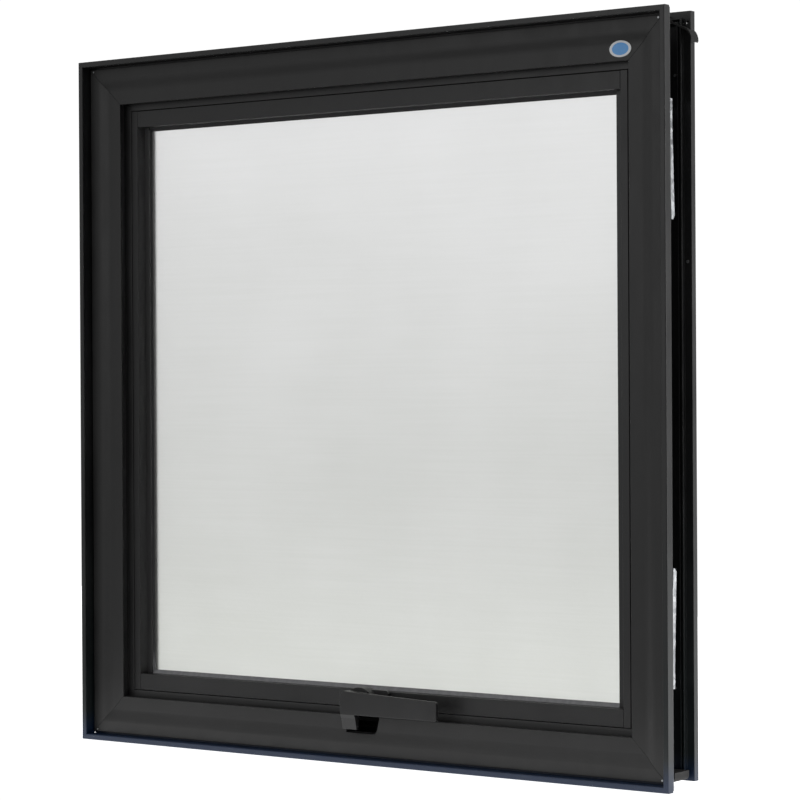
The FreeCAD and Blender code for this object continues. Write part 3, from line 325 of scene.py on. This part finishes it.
MATERIALS = {
    "frame_paint": powder_coat("frame_powder_coat", PAINT, 0.36, low_cast=LOW_BLUE),
    "trim_paint": powder_coat("trim_powder_coat", TRIM_PAINT, 0.42, wear=0.3),
    "sash_paint": powder_coat("sash_powder_coat", SASH_PAINT, 0.38, shade_at=behind_catch()),
    "bead_paint": powder_coat("bead_powder_coat", BEAD_PAINT, 0.38),
    "handle_paint": powder_coat("handle_paint", HANDLE_PAINT, 0.38, edge=0.5 * MM, wear=0.8),
    "glass": textured_glass(),
    "black_rubber": rubber("black_rubber", (0.0045, 0.0045, 0.0045), 0.75),
    "grey_sealant": rubber("grey_sealant", (0.008, 0.008, 0.008), 0.7),
    "galvanised": galvanised(),
    "stainless": brushed("brushed_stainless", (0.52, 0.52, 0.51), 0.30, 2),
    "zinc": brushed("bright_zinc", (0.40, 0.41, 0.42), 0.40, 1),
    "keeper_steel": brushed("blackened_steel", (0.012, 0.012, 0.0125), 0.5, 0),
    "mill_aluminium": brushed("mill_aluminium", (0.58, 0.58, 0.58), 0.36, 0),
    "black_nylon": nylon(),
    "label_film": sticker("trim_label"),
}
NODE_MATERIALS = {"glazing_seal_inner": gasket()}     # nodes that differ from the rest of their slot


def dress_nodes():
    """Give every CAD node its own material or that of its slot."""
    for part in frame["record"]["subparts"]:
        mesh = NODES[part["node"]].data
        mesh.materials.clear()
        mesh.materials.append(NODE_MATERIALS.get(part["node"], MATERIALS[part["material_slot"]]))


# ---------------------------------------------------------------- studio

def floor():
    """Pale floor under the window; past its edge the white backdrop carries on."""
    mesh = bpy.data.meshes.new("floor")
    side, front, back = FLOOR_REACH
    mesh.from_pydata([(-side, -front, 0), (side, -front, 0), (side, back, 0), (-side, back, 0)], [],
                     [(0, 1, 2, 3)])
    made = bpy.data.objects.new("floor", mesh)
    bpy.context.scene.collection.objects.link(made)
    s = Shader("pale_floor", FLOOR_COLOR, 0.6)
    s.set("Emission Color", (1.0, 1.0, 1.0, 1.0))
    s.set("Emission Strength", FLOOR_GLOW)
    s.feed(s.remap(s.noise(0.4, 3.0), 0.3, 0.7, 0.56, 0.64), "Roughness")
    mesh.materials.append(s.material)


def soft_box(name, place, aim, size, power):
    data = bpy.data.lights.new(name, "AREA")
    data.shape = "RECTANGLE"
    data.size, data.size_y = size
    data.energy = power
    made = bpy.data.objects.new(name, data)
    made.location = place
    made.rotation_euler = (Vector(aim) - Vector(place)).to_track_quat("-Z", "Y").to_euler()
    bpy.context.scene.collection.objects.link(made)


def studio():
    """White backdrop with a dim surround for light and gloss, and soft boxes in front, above and behind."""
    world = bpy.data.worlds.new("studio")
    world.use_nodes = True
    bpy.context.scene.world = world
    tree = world.node_tree
    tree.nodes.clear()
    link = tree.links.new
    coords = tree.nodes.new("ShaderNodeTexCoord")

    def glow(direction, start, low, high):
        """Brightness that rises from low to high as a ray turns towards the direction."""
        toward = tree.nodes.new("ShaderNodeVectorMath")
        toward.operation = "DOT_PRODUCT"
        toward.inputs[1].default_value = direction
        link(coords.outputs["Generated"], toward.inputs[0])
        ramp = tree.nodes.new("ShaderNodeMapRange")
        link(toward.outputs["Value"], ramp.inputs["Value"])
        for socket, value in zip(("From Min", "From Max", "To Min", "To Max"), (start, 1.0, low, high)):
            ramp.inputs[socket].default_value = value
        return ramp.outputs["Result"]

    total = tree.nodes.new("ShaderNodeMath")
    total.operation = "ADD"
    link(glow(SURROUND_FROM, -0.7, *SURROUND_STRENGTH), total.inputs[0])
    link(glow(BACKDROP_FROM, 0.35, 0.0, BACKDROP_STRENGTH), total.inputs[1])
    path = tree.nodes.new("ShaderNodeLightPath")
    direct = tree.nodes.new("ShaderNodeMath")
    direct.operation = "MAXIMUM"
    link(path.outputs["Is Camera Ray"], direct.inputs[0])
    link(path.outputs["Is Transmission Ray"], direct.inputs[1])
    lit, seen = (tree.nodes.new("ShaderNodeBackground") for _ in range(2))
    for background in (lit, seen):
        background.inputs["Color"].default_value = (1.0, 1.0, 1.0, 1.0)
    link(total.outputs["Value"], lit.inputs["Strength"])
    seen.inputs["Strength"].default_value = BACKDROP_SEEN
    mix = tree.nodes.new("ShaderNodeMixShader")
    link(direct.outputs["Value"], mix.inputs[0])
    link(lit.outputs[0], mix.inputs[1])
    link(seen.outputs[0], mix.inputs[2])
    out = tree.nodes.new("ShaderNodeOutputWorld")
    link(mix.outputs[0], out.inputs["Surface"])
    for box in SOFT_BOXES:
        soft_box(*box)


def camera():
    """The viewing angle: from the room, to the right of the window, level with its middle."""
    data = bpy.data.cameras.new("camera")
    data.sensor_width, data.lens = CAMERA_SENSOR, CAMERA_LENS
    data.clip_end = FARTHEST_SEEN
    level = math.cos(CAMERA_PITCH)
    forward = Vector((-math.sin(CAMERA_YAW) * level, math.cos(CAMERA_YAW) * level, math.sin(CAMERA_PITCH)))
    right = forward.cross(Vector((0, 0, 1))).normalized()
    up = right.cross(forward)
    cos, sin = math.cos(CAMERA_ROLL), math.sin(CAMERA_ROLL)
    right, up = right * cos + up * sin, up * cos - right * sin
    made = bpy.data.objects.new("camera", data)
    pose = Matrix((right, up, -forward)).transposed().to_4x4()
    pose.translation = Vector(CAMERA_PLACE)
    made.matrix_world = pose
    bpy.context.scene.collection.objects.link(made)
    bpy.context.scene.camera = made


dress_nodes()
floor()
studio()
camera()
bpy.context.scene.view_settings.view_transform = "Standard"
